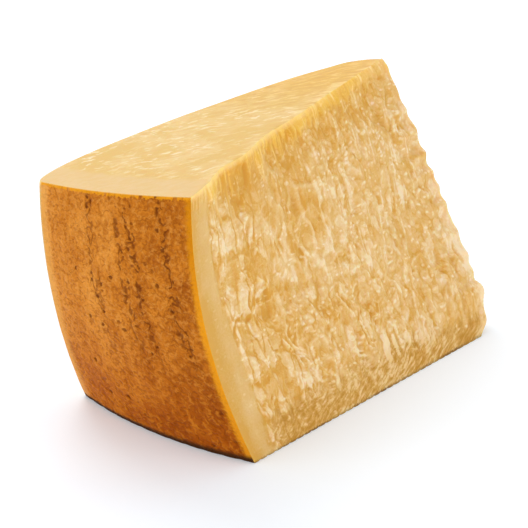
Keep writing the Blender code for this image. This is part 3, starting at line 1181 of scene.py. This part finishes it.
def rind_ground(grain, f, mottle):
    """Colour of the rind with its strokes, cracks and pits, redder and darker towards the foot as painted
    shade, and lighter towards the far face as painted light.
    """
    _, c, t = grain.parts()
    tint = grain.clouds((15, 13, 15), 3, 0.6)
    shade = sum([
        (tint - 0.5) * 1.35,
        (mottle - 0.5) * 1.25,
        # Lighter towards the far face: painted light from that side
        c.span(10, 60, 0.37, 0.69),
        f["columns"] * -0.06,
    ])
    light = t.span(70, 10).blend(*STROKE_LIGHT)
    return layered(
        shade.palette(RIND_STOPS),
        # Darker and redder towards the foot: painted shade
        (t.span(64, 4, 0, 0.9), shade.palette(RIND_SHADED_FOOT_STOPS)),
        (f["light"] * t.span(80, 30, 0.28, 0.40), light),
        (f["dark"] * t.span(50, 80, 0.42, 0.34), STROKE_DARK),
        (f["crack"] * 0.85, CRACK),
        (f["pit"] * 0.8, PIT),
    )


def rind_edges(grain, colour, mottle):
    """The rind's colour with its bright edges and the dark line at the foot, which is partly the bottom
    rind's darker edge and partly painted contact shadow.
    """
    _, c, t = grain.parts()
    ragged = (mottle - 0.5) * 4
    ragged_across = c + ragged
    lip = (t + ragged * 0.9).span(GRAIN_HEIGHT - 1.9, GRAIN_HEIGHT - 0.9)
    nicks = grain.clouds((3, 3.4, 30), 1).span(0.36, 0.44)
    cap = t.span(GRAIN_HEIGHT - 0.45, GRAIN_HEIGHT - 0.15)
    foot_shadow_height = c.span(80, 10, 3, 4.2)
    return layered(
        colour,
        (ragged_across.span(4, 1.6) * 0.85, t.span(100, 60).blend(*NEAR_STRIP)),
        (ragged_across.span(82.5, 88.5) * 0.7, FAR_STRIP),
        (lip * nicks * 0.9, RIND_LIP),
        (cap * 0.7, RIND_CAP),
        # Dark foot line: partly the bottom rind's edge, partly painted contact shadow
        ((t + ragged * 0.25).span(foot_shadow_height, 1.2), RIND_FOOT_EDGE_AND_SHADOW),
    )


def rind_material():
    material, shader, grain = new_material("rind")
    f = rind_fields(grain)
    mottle = grain.clouds(RIND_MOTTLE_SIZE, 3, 0.65)
    colour = rind_edges(grain, rind_ground(grain, f, mottle), mottle)
    height = weighed(f, RIND_WEIGHTS) + mottle * 0.35
    dress(shader, colour, mottle.span(0.3, 0.7, 0.46, 0.62), height, 0.8, gloss=0.04, wax=0.03)
    return material


def skin_height(obj, coords, base):
    """Outward relief of every point of the skin, in metres."""
    along, across, up = coords
    above_foot, below_top = up * GRAIN_HEIGHT, (1 - up) * GRAIN_HEIGHT
    near, far, rind_face = across == 0, across == 1, along == 0
    height = scallops(along, up) + beads(along, up)
    height[near] += crags(along[near], base[near], NEAR_SEED)
    height[far] += crags(along[far], base[far], FAR_SEED)
    height[near] += ragged_edge(along[near], below_top[near])
    height += uneven(base, rind_face, RIND_UNEVEN, RIND_UNEVEN_LENGTH)
    height += uneven(base, up == 1, CUT_UNEVEN, CUT_UNEVEN_LENGTH)

    paste, rind = fine_relief(obj)
    fade = smooth(below_top, *TOP_FADE) * smooth(above_foot, *FOOT_FADE)
    fade *= smooth(along * GRAIN_LENGTH, *RIND_FADE)
    height += np.where(near | far | (along == 1), FINE_SHARE * paste * fade, 0)
    inner = smooth(np.minimum(across, 1 - across) * GRAIN_WIDTH_RIND, *RIND_EDGE_FADE)
    inner *= smooth(np.minimum(above_foot, below_top), *RIND_EDGE_FADE)
    return height + np.where(rind_face, RIND_SHARE * rind * inner, 0)


def build_wedge():
    coords, rings, owners = lattice()
    base = shaped(*coords)
    mesh = bpy.data.meshes.new("cheese")
    mesh.from_pydata(base.tolist(), [], rings)
    add_point_vectors(mesh, "grain", grain_places(*coords))
    obj = add_object("cheese", mesh)
    points = base + outward(*coords) * skin_height(obj, coords, base)[:, None]
    points[coords[2] == 0, 2] = 0
    points = soften_edges(mesh, points, coords)
    points = fit_to_box(points, *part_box("cheese_wedge"))
    mesh.vertices.foreach_set("co", points.astype(np.float32).ravel())
    mesh.update()
    add_map(mesh, base, owners)
    for material in (paste_material(), rind_material(), cut_material()):
        mesh.materials.append(material)
    slots = {NEAR: 0, FAR: 0, TIP: 0, RIND: 1, FOOT: 1, TOP: 2}
    mesh.polygons.foreach_set("material_index", np.array([slots[o] for o in owners], np.int32))
    mesh.shade_smooth()
    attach(obj, "root")
    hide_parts("cheese_wedge")


# The view: the camera's place, where it looks, and its lens
CAMERA_PLACE = (-0.78018, -0.72166, 0.42857)
CAMERA_YAW = 0.75486
CAMERA_PITCH = 0.34213
CAMERA_LENS = 192.4

# The studio: soft lights as (name, place, size, power), what they aim at, and the white surroundings
SOFTBOXES = (
    ("top_light", (0.25, 0.75, 1.10), (0.7, 0.7), 6),
    ("side_light", (-1.10, 0.20, 0.70), (0.8, 0.8), 2.4),
    ("front_light", (0.10, -1.30, 0.60), (1, 0.8), 4.2),
)
LIGHT_TARGET = (0, 0, 0.05)
SURROUND_STRENGTH = 0.76
WHITE = (1, 1, 1, 1)
FLOOR_SIDE = 4
FLOOR_COLOUR = (0.81, 0.86, 0.92, 1)
FLOOR_ROUGHNESS = 0.9
FLOOR_GLOW = 0.18


def add_camera():
    data = bpy.data.cameras.new("camera")
    data.lens = CAMERA_LENS
    camera = add_object("camera", data)
    level = math.cos(CAMERA_PITCH)
    look = Vector((math.cos(CAMERA_YAW) * level, math.sin(CAMERA_YAW) * level, -math.sin(CAMERA_PITCH)))
    camera.location = CAMERA_PLACE
    camera.rotation_euler = look.to_track_quat("-Z", "Y").to_euler()
    bpy.context.scene.camera = camera


def add_softbox(name, place, size, power):
    data = bpy.data.lights.new(name, "AREA")
    data.shape = "RECTANGLE"
    data.size, data.size_y = size
    data.energy = power
    lamp = add_object(name, data)
    lamp.location = place
    lamp.rotation_euler = (Vector(LIGHT_TARGET) - Vector(place)).to_track_quat("-Z", "Y").to_euler()


def add_studio():
    world = bpy.data.worlds.new("studio")
    world.use_nodes = True
    set_inputs(world.node_tree.nodes["Background"], {"Color": WHITE, "Strength": SURROUND_STRENGTH})
    bpy.context.scene.world = world
    for softbox in SOFTBOXES:
        add_softbox(*softbox)


def add_floor():
    side = FLOOR_SIDE
    corners = [(-side, -side, 0), (side, -side, 0), (side, side, 0), (-side, side, 0)]
    mesh = bpy.data.meshes.new("floor")
    mesh.from_pydata(corners, [], [(0, 1, 2, 3)])
    material = bpy.data.materials.new("floor")
    material.use_nodes = True
    shader = material.node_tree.nodes["Principled BSDF"]
    set_inputs(shader, {"Base Color": FLOOR_COLOUR, "Roughness": FLOOR_ROUGHNESS, "Specular IOR Level": 0})
    set_inputs(shader, {"Emission Color": WHITE, "Emission Strength": FLOOR_GLOW})
    mesh.materials.append(material)
    add_object("floor", mesh)


build_wedge()
add_camera()
add_studio()
add_floor()
bpy.context.scene.view_settings.view_transform = "Standard"
